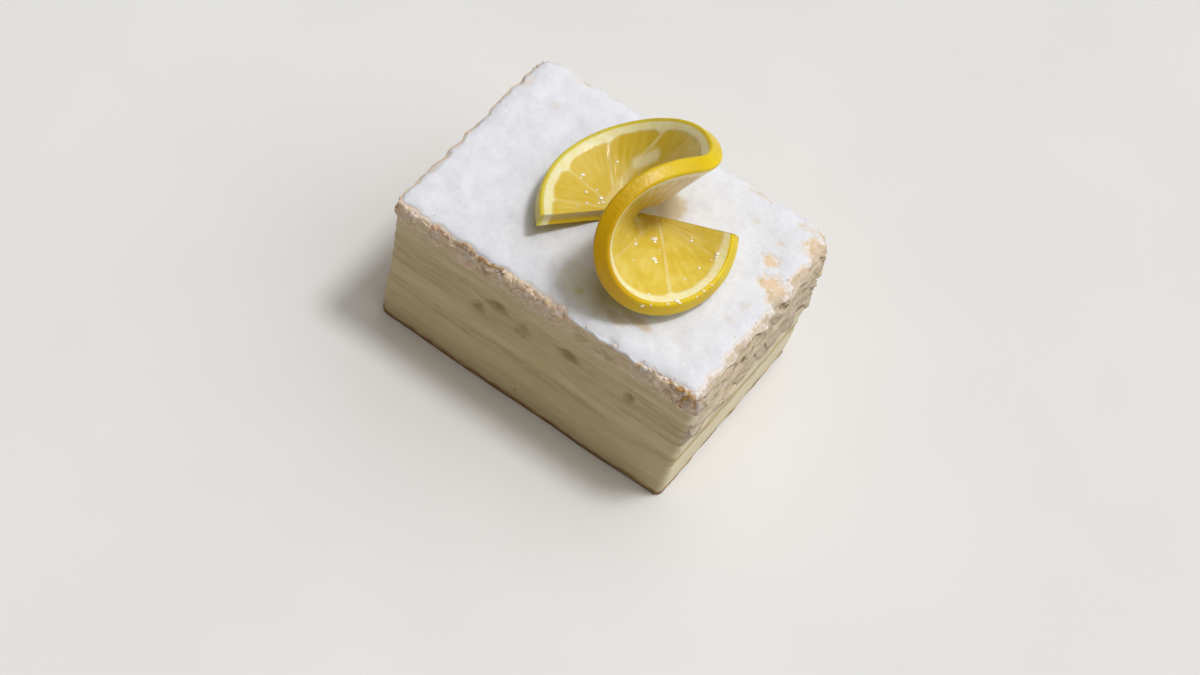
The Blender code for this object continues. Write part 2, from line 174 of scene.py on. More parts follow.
# Loose leaves of the front lip: place along it, level, width, length and tone.
LIP_LEAVES = ((-39.0, 1.0, 4.4, 2.6, 0.36), (-35.2, 1.02, 5.0, 3.2, 0.40), (-31.6, 1.0, 4.2, 2.4, 0.46),
              (-26.0, 0.97, 3.6, 1.6, 0.60), (-21.0, 0.96, 3.6, 1.5, 0.70), (-15.6, 0.96, 3.6, 1.5, 0.72),
              (-10.6, 1.01, 4.4, 2.8, 0.42), (-8.0, 0.99, 4.2, 4.6, 0.20), (-4.6, 1.03, 5.0, 3.2, 0.40),
              (-0.6, 1.02, 4.6, 4.4, 0.36), (2.8, 1.02, 4.6, 3.6, 0.44), (30.4, 1.01, 4.2, 2.0, 0.38),
              (34.0, 1.0, 4.2, 2.4, 0.46), (38.0, 0.98, 3.8, 2.6, 0.84), (41.0, 0.94, 3.8, 4.4, 0.88))
# Crumbled crust on the front lip: from and to along it, how many, how far down, sizes, and tone.
CRUMBLE = ((-41.0, -30.0, 70, 5.0, 0.4, 1.3, 0.38), (-30.0, -12.0, 46, 1.8, 0.25, 0.6, 0.62),
           (-12.0, 5.5, 120, 6.0, 0.4, 1.5, 0.30), (27.0, 37.5, 42, 2.2, 0.3, 0.9, 0.40),
           (37.5, 43.0, 40, 7.5, 0.3, 0.9, 0.84))

# The lemon: a round slice, slit past its core and twisted. It is a cone whose point is the slit's end, and
# its edge turns as it goes round: each bend has a place in degrees, a reach and a sharpness.
LEMON_RADIUS = 28.2
LEMON_THICKNESS = 3.9
LEMON_SLIT_END = (2.4, 3.9)
LEMON_MIDDLE = (-1.0, -6.2)
LEMON_START_AZIMUTH = 236.8
LEMON_START_RISE = 12.2
LEMON_START_CLIMB = 0.4
LEMON_BENDS = ((111.0, 70.4, -0.836), (189.6, 11.2, -2.80), (266.0, 51.6, 1.894), (342.8, 13.2, 1.235))
LEMON_STEPS = 440
LEMON_ROUNDING = 0.7
LEMON_PINCH = (1.0, 9.0, 0.3)
LEMON_FLESH = 25.2
LEMON_RIND = (26.9, 27.4)
# The core, on the slit, from the slice's middle; the membranes that leave it, by angle and strength; and pale
# streaks of the flesh, each from place to place with its half width and strength.
LEMON_CORE = (7.0, 6.2)
LEMON_MEMBRANES = ((16.0, 0.25), (57.0, 0.3), (104.0, 0.35), (141.0, 0.3), (180.0, 0.25), (216.0, 0.25),
                   (257.0, 0.25), (297.0, 0.55), (338.0, 0.2))
LEMON_STREAKS = ((-12.9, 21.2, -5.2, 18.4, 0.4, 0.6), (-8.6, 16.4, -3.2, 17.0, 1.7, 0.9),
                 (-3.2, 17.0, 3.3, 13.3, 1.2, 0.4), (3.3, 13.3, 8.9, 8.5, 1.1, 0.3))
# Wet beads on the flesh, nearly white to paint glints of light, by their pixel in the photograph, and their
# half width.
GLINT_BEADS = ((583, 175, 0.34), (581, 178, 0.22), (586, 192, 0.3), (601, 198, 0.36), (603, 202, 0.3),
         (599, 203, 0.24), (587, 203, 0.26), (578, 206, 0.22), (597, 190, 0.22), (617, 162, 0.26),
         (654, 239, 0.42), (655, 242, 0.26), (654, 259, 0.4), (656, 262, 0.3), (636, 244, 0.34),
         (635, 240, 0.22), (634, 260, 0.24), (691, 241, 0.28), (692, 238, 0.2), (717, 254, 0.34),
         (716, 257, 0.24), (711, 260, 0.18), (699, 268, 0.26), (685, 279, 0.22), (649, 294, 0.26),
         (642, 306, 0.3), (651, 305, 0.2), (668, 304, 0.22), (677, 301, 0.36), (680, 303, 0.24),
         (704, 291, 0.24), (712, 285, 0.2), (697, 297, 0.18), (660, 250, 0.2))

# The camera of the photograph, in millimetres and degrees.
CAMERA_PLACE = (158.6, -339.5, 517.4)
CAMERA_AHEAD = (-0.24452, 0.53095, -0.81136)
CAMERA_ROLL = 13.0
CAMERA_LENS = 75.5
SENSOR_WIDTH = 36.0
PICTURE_SIZE = (1200, 675)
# Its light: a warm surround, and suns by azimuth, elevation, strength, softness and colour.
SURROUND = ((1.0, 0.86, 0.62, 1.0), 0.11)
SUNS = (("key", 34.0, 70.0, 1.4, 12.0, (0.98, 0.985, 1.0)),
        ("fill", 40.0, 62.0, 1.6, 84.0, (1.0, 0.985, 0.965)))
FLOOR_HALF = 1.5

# Colours of the flaky end and of bare custard, and how far red, green and blue light goes into pastry.
END_COLOURS = ((0.60, 0.51, 0.39), (0.40, 0.33, 0.24))
YOLK_COLOUR = (0.80, 0.60, 0.13)
PASTRY_DEPTHS = (0.0015, 0.0009, 0.0004)

# Places of the outline: each with its way out, its run along the wall and how far it faces each side.
Line = namedtuple("Line", "x y out_x out_y run front right back left")
SIDES = slice(5, 9)


def smooth(low, high, value):
    """Goes softly from 0 at low to 1 at high."""
    t = np.clip((value - low) / (high - low), 0.0, 1.0)
    return t * t * (3.0 - 2.0 * t)


def fade(low, high, value):
    """Goes softly from 1 at low to 0 at high."""
    return 1.0 - smooth(low, high, value)


def at_each(function, *axes):
    """A function's value at each of many places, given by their coordinates."""
    axes = np.broadcast_arrays(*axes)
    places = zip(*(axis.ravel().tolist() for axis in axes))
    return np.array([function(place) for place in places]).reshape(axes[0].shape)


def ripple(x, y, z=0.0):
    """An even, repeatable unevenness between about -1 and 1, at each of many places."""
    return at_each(noise.noise, x, y, z)


def waves(x, y, *parts):
    """A sum of ripples in plan, each of a height, a size and a seed."""
    return sum(height * ripple(x / size, y / size, seed) for height, size, seed in parts)


def away_from(x, y, spot):
    """How far places are from the middle of a spot, in its half lengths."""
    return np.hypot((x - spot[0]) / spot[2], (y - spot[1]) / spot[3])


def pore_at(place):
    """How near a place is to the middle of a hollow: 1 at it, and nothing or less out of it."""
    distances, middles = noise.voronoi(place)
    width = 0.16 + 0.22 * noise.cell(middles[0] * 7.3)
    return 1.0 - distances[0] / max(width, 0.05)


def pores(x, y, size, seed):
    """Round hollows of many sizes: 0 between them, up to 1 at the middle of one."""
    return smooth(0.0, 1.0, at_each(pore_at, x / size, y / size, seed))


def add_object(name, data):
    """Puts an object into the scene."""
    obj = bpy.data.objects.new(name, data)
    bpy.context.scene.collection.objects.link(obj)
    return obj


class Shape:
    """Points, faces and marks of a mesh in the making."""

    def __init__(self, *marks):
        self.points = []
        self.faces = []
        self.marks = {mark: [] for mark in marks}
        self.count = 0

    def add(self, points, **marks):
        """Adds an array of points and returns their numbers in the same layout."""
        points = np.asarray(points, float)
        layout = points.shape[:-1]
        size = int(np.prod(layout))
        self.points.append(points.reshape(-1, 3))
        for mark, values in self.marks.items():
            values.append(np.broadcast_to(marks.get(mark, 0.0), layout).reshape(-1))
        numbers = np.arange(self.count, self.count + size).reshape(layout)
        self.count += size
        return numbers

    def sheet(self, numbers):
        """Fills a grid of point numbers with faces."""
        quads = np.stack((numbers[:-1, :-1], numbers[:-1, 1:], numbers[1:, 1:], numbers[1:, :-1]), axis=-1)
        self.faces += quads.reshape(-1, 4).tolist()

    def bridge(self, rows):
        """Joins closed rings of point numbers, one after the other."""
        rows = np.asarray(rows)
        self.sheet(np.concatenate((rows, rows[:, :1]), axis=1))

    def cover(self, rows, grid):
        """Joins the last of the rings to the edge of a grid, and fills the grid."""
        self.bridge(np.vstack((rows, edge_of_grid(grid))))
        self.sheet(grid.T)

    def fan(self, ring, middle, upward):
        """Closes a ring of point numbers round a middle one."""
        after = np.roll(ring, -1)
        pairs = (ring, after) if upward else (after, ring)
        hub = np.full(len(ring), middle)
        self.faces += np.stack((*pairs, hub), axis=-1).tolist()

    def piece(self, name, material, slot, replaced=(), crease=180.0):
        """Makes the mesh piece on the one body; edges that turn by more than the crease are hard."""
        data = bpy.data.meshes.new(name)
        data.from_pydata((np.concatenate(self.points) * MM).tolist(), [], self.faces)
        for mark, values in self.marks.items():
            layer = data.attributes.new(mark, "FLOAT", "POINT")
            layer.data.foreach_set("value", np.concatenate(values).astype(np.float32))
        data.shade_smooth()
        if crease < 180.0:
            data.set_sharp_from_angle(angle=math.radians(crease))
        data.materials.append(material)
        obj = add_object(name, data)
        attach(obj, "root")
        if replaced:
            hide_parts(*replaced)
        return obj


def line_of(x, y, out_x, out_y):
    """Places of the outline, from where they are and the way out of each."""
    sides = (np.maximum(side, 0.0) ** 2 for side in (-out_y, out_x, out_y, -out_x))
    return Line(x, y, out_x, out_y, x * np.abs(out_y) + y * np.abs(out_x), *sides)


def outline_at(u, v):
    """The rounded outline of the slice in plan, at places on the edge of a unit square."""
    x = u * LENGTH / 2
    y = v * WIDTH / 2
    endwise = np.abs(u) >= np.abs(v)
    out_x = np.where(endwise, np.sign(u), 0.0)
    out_y = np.where(endwise, 0.0, np.sign(v))
    for (side_x, side_y), radius in zip(CORNER_SIGNS, CORNER_RADII):
        centre_x = side_x * (LENGTH / 2 - radius)
        centre_y = side_y * (WIDTH / 2 - radius)
        away_x = x - centre_x
        away_y = y - centre_y
        inside = (away_x * side_x > 0) & (away_y * side_y > 0)
        reach = np.where(inside, np.hypot(away_x, away_y), 1.0)
        out_x = np.where(inside, away_x / reach, out_x)
        out_y = np.where(inside, away_y / reach, out_y)
        x = np.where(inside, centre_x + radius * out_x, x)
        y = np.where(inside, centre_y + radius * out_y, y)
    return line_of(x, y, out_x, out_y)


def unit_square():
    """A grid over the unit square, column by column from the left and each from the front to the back."""
    u = np.linspace(-1.0, 1.0, COLUMNS_ALONG + 1)[:, None]
    v = np.linspace(-1.0, 1.0, COLUMNS_ACROSS + 1)
    return np.broadcast_arrays(u, v)


def edge_of_grid(numbers):
    """The edge of a grid, counter-clockwise from its front left corner."""
    return np.concatenate((numbers[:-1, 0], numbers[-1, :-1], numbers[:0:-1, -1], numbers[0, :0:-1]))


def top_height(x, y):
    """The upper sheet's top: softly uneven, falling at its edges and puffed up at the far right corner."""
    inside = np.minimum(LENGTH / 2 - np.abs(x), WIDTH / 2 - np.abs(y))
    fall = EDGE_FALL * np.exp(-np.maximum(inside, 0.0) / EDGE_REACH)
    puff = PUFF_HEIGHT * np.exp(-away_from(x, y, PUFF) ** 2)
    return JOINTS[-1] + waves(x, y, *TOP_WAVES) - fall + puff


def joint_height(joint, x, y):
    """The height of the joint between two layers; the floor is flat."""
    if joint == 0:
        return np.zeros_like(x)
    if joint == len(JOINTS) - 1:
        return top_height(x, y)
    uneven = waves(x, y, (JOINT_WAVE, 26.0, 7.0 * joint), (JOINT_RIPPLE, 7.0, 5.0 * joint + 2.5))
    return JOINTS[joint] + (0.5 if joint == 1 else 1.0) * uneven


def pit_depth(x, z):
    """How deep the hollows of the second sheet's cut face are at places on it."""
    fray = 0.22 * ripple(x / 1.1, z / 0.9, 35.0)
    return PIT_DEPTH * np.max([fade(0.0, 1.3, away_from(x, z, pit) + fray) for pit in PITS], axis=0)


def leaf_edges(run, z, seed):
    """Edges of thin baked leaves, one over the other: low in the seams, uneven in how far each stands out."""
    height = z / LEAF_PITCH + 0.9 * ripple(run / 12.0, z / 9.0, seed)
    height = height + 0.12 * ripple(run / 3.5, z / 2.5, seed + 5.0)
    number = np.floor(height)
    nose = np.sqrt(np.sin(np.pi * (height - number)))
    return nose * (0.55 + 0.6 * ripple(run / 7.0, number * 3.7, seed)) - 0.4


def end_lean(x, z):
    """How far the right end leans in at a place; it fades out towards the middle of the slice."""
    return END_LEAN * np.maximum(1.0 - z / END_LEAN_TOP, 0.0) * smooth(0.0, LENGTH / 2, x)


def flakiness(line):
    """How flaky the wall is: fully on the right end, not at its front corner."""
    return line.right * smooth(-30.3, -27.5, line.y)


def bow(line, z):
    """How a whole wall bows out and in."""
    return 0.35 * ripple(line.x / 21.0, line.y / 21.0, z / 30.0)


def stand_out(number, line, z, level):
    """How far a layer's wall stands out of the plain outline."""
    name, stands, bulge, cut_flaking, end_flaking = LAYERS[number]
    end = flakiness(line)
    flaking = 0.5 * cut_flaking * (1.0 - end) + end_flaking * end
    leaves = ripple(line.run / 5.5, z / 1.35, 17.0) + 0.12 * ripple(line.run / 9.0, z / 0.9, 29.0)
    out = sum(share * stand for share, stand in zip(line[SIDES], stands)) + bow(line, z)
    out = out + 0.6 * bulge * np.sin(np.pi * level) + flaking * leaves
    if name == "pastry_second":
        out = out - line.front * pit_depth(line.x, z)
    if name == "pastry_top":
        out = out + LIP_RAGGED * smooth(LIP_START, 1.0, level) * ripple(line.run / 3.6, 53.0, 1.0)
    return out


def fine_relief(number, line, z):
    """The grain of a wall: leaves in the pastry, small pores and smears in the cream."""
    name = LAYERS[number][0]
    end = flakiness(line)
    smears = 0.05 * ripple(line.run / 8.0, z / 1.9, 8.0) + 0.02 * ripple(line.run / 0.8, z / 0.7, 9.0)
    if name.startswith("cream"):
        flaky = 0.4 * end * leaf_edges(line.run, z, 47.0) if name == "cream_upper" else 0.0
        return smears + flaky - 0.15 * pores(line.run, z, 2.6, 12.0)
    flaky = end if name in ("pastry_second", "pastry_top") else 0.3 * end
    leaves = (0.02 + 0.42 * flaky) * leaf_edges(line.run, z, 21.0)
    return smears + leaves - 0.16 * (1.0 - end) * pores(line.run, z / 0.7, 2.1, 31.0)


def plain_stand(line, z):
    """How far the walls stand out on the whole, apart from each layer's own relief."""
    middles = [(low + high) / 2 for low, high in zip(JOINTS, JOINTS[1:])]
    stands = zip(*(layer[1] for layer in LAYERS))
    return bow(line, z) + sum(share * np.interp(z, middles, side) for share, side in zip(line[SIDES], stands))


def lip_drop(line):
    """How much the ragged upper edge has crumbled down."""
    return LIP_CRUMBLE * np.maximum(ripple(line.run / 4.4, 61.0, 2.0), 0.0)


def stood_out(line, out, z):
    """The points that stand out of the outline by a distance, leaning in on the right end."""
    x = line.x + line.out_x * out - end_lean(line.x, z)
    return np.stack((x, line.y + line.out_y * out, z), axis=-1)


def wall_points(number, line, levels):
    """Rows of points up a layer's wall. Its own relief fades out towards the joints."""
    low = joint_height(number, line.x, line.y) + (SEAM / 2 if number else 0.0)
    high = joint_height(number + 1, line.x, line.y) - (0.0 if number == TOP_LAYER else SEAM / 2)
    level = np.asarray(levels)[:, None]
    z = low + (high - low) * level
    plain = plain_stand(line, z)
    own = stand_out(number, line, z, level) + fine_relief(number, line, z) - plain
    from_low = z - low if number else JOINTS[-1]
    from_high = JOINTS[-1] if number == TOP_LAYER else high - z
    out = plain + own * smooth(0.0, 1.8 - 1.4 * line.right, np.minimum(from_low, from_high))
    if number == TOP_LAYER:
        z = z - lip_drop(line) * smooth(0.8, 1.0, level)
    return stood_out(line, out, z)


def rough_wall(number, line, level, rise=0.0):
    """Points on a layer's wall at one level, without its fine relief."""
    low = joint_height(number, line.x, line.y)
    high = joint_height(number + 1, line.x, line.y)
    z = low + (high - low) * level + rise
    return stood_out(line, stand_out(number, line, z, level), z)


def flat_cap(shape, ring, number, lift, upward):
    """Closes a layer where the next one hides it, with one ring and a fan."""
    edge = np.concatenate(shape.points)[ring]
    inner = np.vstack((edge[:, :2] * CAP_SHARE, (0.0, 0.0)))
    height = joint_height(number, inner[:, 0], inner[:, 1]) + lift
    numbers = shape.add(np.column_stack((inner, height)))
    shape.bridge((ring, numbers[:-1]) if upward else (numbers[:-1], ring))
    shape.fan(numbers[:-1], numbers[-1], upward)


def levels_of(number):
    """The levels of a layer's rows of points, from its foot at 0 to its top at 1."""
    height = JOINTS[number + 1] - JOINTS[number]
    return np.linspace(0.0, 1.0, max(int(round(height / ROW_STEP)), 4) + 1)


def build_layer(number, line, material, slot):
    """One of the layers under the upper sheet."""
    name = LAYERS[number][0]
    shape = Shape("level", "end", "yolk")
    levels = levels_of(number)
    wall = wall_points(number, line, levels)
    y = wall[..., 1]
    z = wall[..., 2]
    yolk = line.right * fade(0.5, 1.4, away_from(y, z, YOLK_SPOT) + 0.3 * ripple(y, z))
    # On the right end the cream takes lighter colours; its darker colours on the cut faces are partly painted
    # shade.
    end_share = 0.0 if name == "pastry_third" else line.right
    rows = shape.add(wall, level=levels[:, None], end=end_share, yolk=yolk)
    shape.bridge(rows)
    flat_cap(shape, rows[0], number, SEAM / 2 if number else 0.0, False)
    flat_cap(shape, rows[-1], number + 1, -SEAM / 2, True)
    return shape.piece(name + "_look", material, slot, (name,), CUT_CREASE)


def along_lip(x, place):
    """A value along the front lip, blended softly from stretch to stretch."""
    total = np.zeros_like(x)
    weights = np.zeros_like(x) + 1e-6
    for stretch in FRONT_LIP:
        start, end = stretch[:2]
        weight = smooth(start - 1.0, start + 1.0, x) * fade(end - 1.0, end + 1.0, x)
        total = total + weight * stretch[place]
        weights = weights + weight
    return total / weights


def crust_tone(x, y, line, level):
    """How brown the crust is, from pale soaked pastry at 0 to caramel at 1."""
    down = np.maximum(along_lip(x, LIP_DOWN), 0.5) * (1.0 + 0.35 * ripple(line.run / 1.8, level * 3.0, 6.0))
    fall = (1.0 - level) * (JOINTS[-1] - JOINTS[-2])
    front = line.front * (along_lip(x, LIP_BROWN) * fade(0.5, 1.1, fall / down) + 0.08)
    rest = line.right * 0.25 + (line.back + line.left) * 0.38
    lip = front + rest * smooth(0.5, 0.9, level) + 0.2 * line.right * (1.0 - level)
    return lip + 0.12 * ripple(x / 4.0 + y / 4.0, line.run / 4.0, level * 2.0)


def sugar_depth(x, y, line, inside):
    """The depth of icing sugar on the top; below nothing the pastry shows."""
    depth = SUGAR_DEPTH + waves(x, y, *SUGAR_WAVES)
    fray = waves(x, y, *BARE_FRAY)
    for patch in BARE_PATCHES:
        depth = depth - 0.5 * patch[4] * fade(0.2, 1.45, away_from(x, y, patch) + fray)
    reach = line.front * along_lip(x, LIP_BARE) + line.right * 1.3 - line.back * 0.1 + line.left * 0.2
    ragged = 0.6 * ripple(line.run / 2.6, 91.0, 4.0) + line.right * 0.8 * ripple(line.run / 6.0, 33.0, 1.0)
    reach = reach * (1.0 + ragged) + 0.2
    rim = fade(0.0, np.maximum(1.5 * reach + 0.4, 0.2), inside + 0.4 * fray)
    return depth - 0.6 * rim * smooth(0.05, 0.45, reach)


def wetness(x, y):
    """How strongly the sugar is tinted by juice and by painted shadow under the lemon, and how amber rather
    than green.
    """
    wet = np.zeros_like(x)
    amber = np.zeros_like(x)
    fray = waves(x, y, *JUICE_AND_SHADOW_FRAY)
    for spot in JUICE_AND_SHADOW_SPOTS:
        here = spot[4] * fade(0.5, 1.3, away_from(x, y, spot) + fray)
        amber = np.where(here > wet, spot[5], amber)
        wet = np.maximum(wet, here)
    return wet, amber


def dusting(depth, end):
    """How white the pastry is with a trace of sugar where the layer of sugar runs out, softly on the end."""
    return smooth(-0.28 - 0.4 * end, 0.06, depth)


def top_surface():
    """The upper sheet's top as a grid: its points, the outline beside each, and how far in each is."""
    u, v = unit_square()
    reach = np.maximum(np.maximum(np.abs(u), np.abs(v)), 1e-6)
    line = outline_at(u / reach, v / reach)
    edge = wall_points(TOP_LAYER, line, (1.0,))
    half = LENGTH / 2 * (line.right + line.left) + WIDTH / 2 * (line.front + line.back)
    inside = (1.0 - reach) * half
    calm = smooth(0.0, 5.0, inside)
    x = (edge[..., 0] * (1.0 - calm) + line.x * calm) * reach
    y = (edge[..., 1] * (1.0 - calm) + line.y * calm) * reach
    z = top_height(x, y) - lip_drop(line) * fade(0.0, 1.5, inside)
    z = z + waves(x, y, *BLISTERS) * smooth(0.0, 1.0, inside)
    return np.stack((x, y, z), axis=-1), line, inside


def build_top(line, surface, material):
    """The upper sheet, with its whole top at a fine grain."""
    points, beside, inside = surface
    x, y, _ = np.moveaxis(points, -1, 0)
    shape = Shape("tone", "dust", "end")
    levels = levels_of(TOP_LAYER)[:-1]
    level = levels[:, None]
    wall = wall_points(TOP_LAYER, line, levels)
    tone = crust_tone(wall[..., 0], wall[..., 1], line, level)
    rim = sugar_depth(line.x, line.y, line, 0.0)
    dust = dusting(rim - (1.0 - level) * (6.0 - 4.0 * line.right), line.right)
    rows = shape.add(wall, tone=tone, dust=dust, end=line.right)
    tone = crust_tone(x, y, beside, 1.0 - 0.3 * smooth(0.5, 4.0, inside))
    end_share = beside.right * fade(0.5, 3.0, inside)
    dust = dusting(sugar_depth(x, y, beside, inside), end_share)
    shape.cover(rows, shape.add(points, tone=tone, dust=dust, end=0.8 * end_share))
    flat_cap(shape, rows[0], TOP_LAYER, SEAM / 2, False)
    return shape.piece("pastry_top_look", material, "pastry_crust", ("pastry_top",), TOP_CREASE)


def build_sugar(line, surface, material):
    """The dusting of icing sugar: a shell that lies on the sheet's top and dips under it where it is bare."""
    points, beside, inside = surface
    x, y, _ = np.moveaxis(points, -1, 0)
    shape = Shape("depth", "wet", "amber")
    level = np.array(SUGAR_LEVELS)[:, None]
    rim = sugar_depth(line.x, line.y, line, 0.0)
    fading = np.maximum(rim - (1.0 - level) * 4.0, -SUGAR_DIP)
    sideways = np.stack((line.out_x, line.out_y, np.full_like(line.x, 0.4)), axis=-1)
    wall = wall_points(TOP_LAYER, line, SUGAR_LEVELS) + sideways * fading[..., None]
    rows = shape.add(wall, depth=fading)
    depth = np.maximum(sugar_depth(x, y, beside, inside), -SUGAR_DIP)
    tilt = 0.7 * fade(0.0, 1.2, inside)
    lean = np.stack((beside.out_x * tilt, beside.out_y * tilt, np.ones_like(tilt)), axis=-1)
    wet, amber = wetness(x, y)
    shape.cover(rows, shape.add(points + lean * depth[..., None], depth=depth, wet=wet, amber=amber))
    ring = shape.add(wall[0] * (0.97, 0.97, 1.0))
    hub = shape.add((0.0, 0.0, JOINTS[-1] - 2.0))
    shape.bridge((ring, rows[0]))
    shape.fan(ring, hub, False)
    return shape.piece("icing_sugar_look", material, "icing_sugar")


def flake_places(counts, draw):
    """Places round the outline for the flakes of each side, on the columns of the solids' own outline."""
    outward = [Vector(way) for way in ((0.0, -1.0), (1.0, 0.0), (0.0, 1.0), (-1.0, 0.0))]
    corners = [Vector((x * LENGTH / 2, y * WIDTH / 2)) for x, y in CORNER_SIGNS]
    for side, (count, steps) in enumerate(zip(counts, SOLID_STEPS)):
        after = (side + 1) % 4
        start = corners[side] + outward[after] * CORNER_RADII[side]
        end = corners[after] - outward[after] * CORNER_RADII[after]
        for number in range(count):
            share = (number + 0.5 + draw.uniform(-0.35, 0.35)) / count
            step = min(int(share * (steps + 1)), steps)
            yield line_of(*start.lerp(end, step / steps), *outward[side])


def add_leaf(shape, root, outward, size, lift, twist, tone, draw, dust):
    """A thin curled scrap of pastry, rooted in the wall, with a ragged edge and a lifted tip."""
    width, length, thick = size
    out = Vector((*outward, 0.0)).normalized()
    lean = Matrix.Rotation(twist, 3, out)
    along = np.array(lean @ Vector((-out.y, out.x, 0.0)))
    rise = np.array(lean @ Vector((0.0, 0.0, 1.0)))
    seed = draw.uniform(0.0, 90.0)
    curl = draw.uniform(0.1, 0.6)
    s = np.linspace(0.0, 1.0, LEAF_ROWS + 1)[:, None, None]
    t = np.linspace(-0.5, 0.5, LEAF_COLUMNS + 1)[:, None]
    fray = 0.35 * ripple(t * width * 1.2, seed, s * 2.0)
    place = along * (t * width * (0.8 + 0.3 * s - 0.55 * s ** 3))
    place = place + rise * (0.4 - s * (length + 0.4) + fray * s * 2.0) + np.array(root)
    cup = -0.5 * (2.0 * t) ** 2 * s + 0.25 * ripple(t * width / 1.7, s * length / 1.3, seed)
    reach = (lift + FLAKE_ROOT) * s ** 0.7 - FLAKE_ROOT + curl * s ** 3 + cup * 0.6
    thin = thick * 0.5 * (1.0 - 0.55 * s) * (1.0 - 0.6 * (2.0 * t) ** 4)
    worn = np.linspace(1.0, 0.45, LEAF_ROWS + 1)[:, None]
    marks = {"tone": tone * worn, "dust": dust * worn, "end": max(out.x, 0.0)}
    front, back = (shape.add(place + np.array(out) * (reach + half * thin), **marks) for half in (0.5, -0.5))
    shape.sheet(front)
    shape.sheet(back[:, ::-1])
    shape.bridge((edge_of_grid(back.T), edge_of_grid(front.T)))


def solid_flakes(shape, number, counts, levels, draw):
    """The flakes that the solids have, finer."""
    for line in flake_places(counts, draw):
        level = draw.uniform(*levels)
        size = [draw.uniform(*limits) for limits in (FLAKE_WIDTH, FLAKE_LENGTH, FLAKE_THICKNESS)]
        lift = draw.uniform(*FLAKE_LIFT)
        twist = draw.uniform(-FLAKE_TWIST, FLAKE_TWIST)
        root = rough_wall(number, line, level)
        tone = crust_tone(line.x, line.y, line, 0.9) * (1.0 - 0.75 * (line.back + line.left))
        own = random.Random(int(abs(line.x * 31 + line.y * 17) * 10))
        add_leaf(shape, root, (line.out_x, line.out_y), size, lift, twist, tone, own, 0.5 * tone * line.front)


def add_strand(shape, draw):
    """A long wavy edge of a leaf on the flaky end, half sunk in the wall, thin at both ends."""
    number = draw.choice(STRAND_LAYERS)
    level, middle, half, height, depth, seed, tone = (draw.uniform(*limits) for limits in STRAND_RANGES)
    marks = {"tone": tone, "dust": 0.1, "end": 0.7}
    y = np.clip(np.linspace(middle - half, middle + half, STRAND_STEPS), -27.0, 24.5)
    line = line_of(np.full_like(y, LENGTH / 2), y, np.ones_like(y), np.zeros_like(y))
    spine = rough_wall(number, line, level, 0.7 * ripple(y / 6.0, seed, 1.0))[:, None]
    offset = (np.arange(STRAND_STEPS) - STRAND_STEPS // 2) / (STRAND_STEPS / 2)
    taper = np.sqrt(np.maximum(1.0 - offset ** 2, 0.02))[:, None]
    rough = 1.0 + 0.4 * ripple(y[:, None] / 1.6, seed, 5.0)
    turn = np.linspace(0.0, 2.0 * math.pi, STRAND_SIDES, endpoint=False)
    out = 0.15 + 0.5 * depth * taper * rough * np.cos(turn)
    rise = height * taper * np.sin(turn) - 0.125 * depth * (1.0 + np.cos(turn))
    points = spine + np.stack((out, np.zeros_like(out), rise), axis=-1)
    numbers = shape.add(points, **marks)
    shape.bridge(numbers)
    for end, upward in ((0, False), (-1, True)):
        shape.fan(numbers[end], shape.add(points[end].mean(axis=0), **marks), upward)


def lip_root(x, level):
    """The point on the crumbled front lip at a place along it and a level."""
    line = line_of(x, -WIDTH / 2, 0.0, -1.0)
    return Vector(rough_wall(TOP_LAYER, line, level) - (0.0, 0.0, lip_drop(line)))


def add_crumble(shape, draw):
    """Rounded bits of crust, half sunk in the front cut under the lip."""
    for start, end, count, down, least, most, tone in CRUMBLE:
        for _ in range(count):
            x = draw.uniform(start, end)
            fall = down * draw.random() ** 1.15
            size = draw.uniform(least, most) * (1.0 - 0.35 * fall / down)
            facing = Vector((draw.uniform(-0.6, 0.6), -1.0, draw.uniform(-0.3, 0.9))).normalized()
            root = lip_root(x, 1.0 - fall / (JOINTS[-1] - JOINTS[-2])) - facing * (0.3 * size)
            marks = {"tone": tone + draw.uniform(-0.16, 0.22), "dust": draw.uniform(-0.3, 0.6)}
            add_lump(shape, root, facing, size, draw.uniform(0.45, 0.75), draw.uniform(0.0, 90.0), **marks)


def build_flakes(material):
    """All loose scraps of pastry: the solids' flakes, those of the front lip and the strands of the end."""
    shape = Shape("tone", "dust", "end")
    draw = random.Random(FLAKE_SEED)
    solid_flakes(shape, SECOND_SHEET, SECOND_FLAKES, SECOND_FLAKE_LEVELS, draw)
    solid_flakes(shape, TOP_LAYER, TOP_FLAKES, TOP_FLAKE_LEVELS, draw)
    extra = random.Random(EXTRA_SEED)
    for x, level, width, length, tone in LIP_LEAVES:
        size = (width, length, extra.uniform(*FLAKE_THICKNESS))
        outward = (extra.uniform(-0.25, 0.25), -1.0)
        lift = extra.uniform(0.2, 0.6)
        twist = extra.uniform(-0.4, 0.4)
        add_leaf(shape, lip_root(x, level), outward, size, lift, twist, tone, extra, 0.3)
    add_crumble(shape, extra)
    # A dark crumb low on the front cut, and a pale knob at the back of the flaky end.
    add_lump(shape, Vector((-3.0, -WIDTH / 2 - 0.2, 4.6)), Vector((0.0, -1.0, 0.0)), 0.4, 0.6, 2.0, tone=0.78)
    facing = Vector((1.0, 0.3, 0.2)).normalized()
    add_lump(shape, Vector((LENGTH / 2 - 0.9, 26.3, 36.6)), facing, 2.0, 0.7, 8.0, tone=0.12)
    for _ in range(STRAND_COUNT):
        add_strand(shape, extra)
    return shape.piece("loose_flakes_look", material, "pastry_crust")


def direction(azimuth, elevation):
    """The direction at an azimuth, from +X towards +Y, and an elevation, in degrees."""
    turn = math.radians(azimuth)
    rise = math.radians(elevation)
    return Vector((math.cos(turn) * math.cos(rise), math.sin(turn) * math.cos(rise), math.sin(rise)))


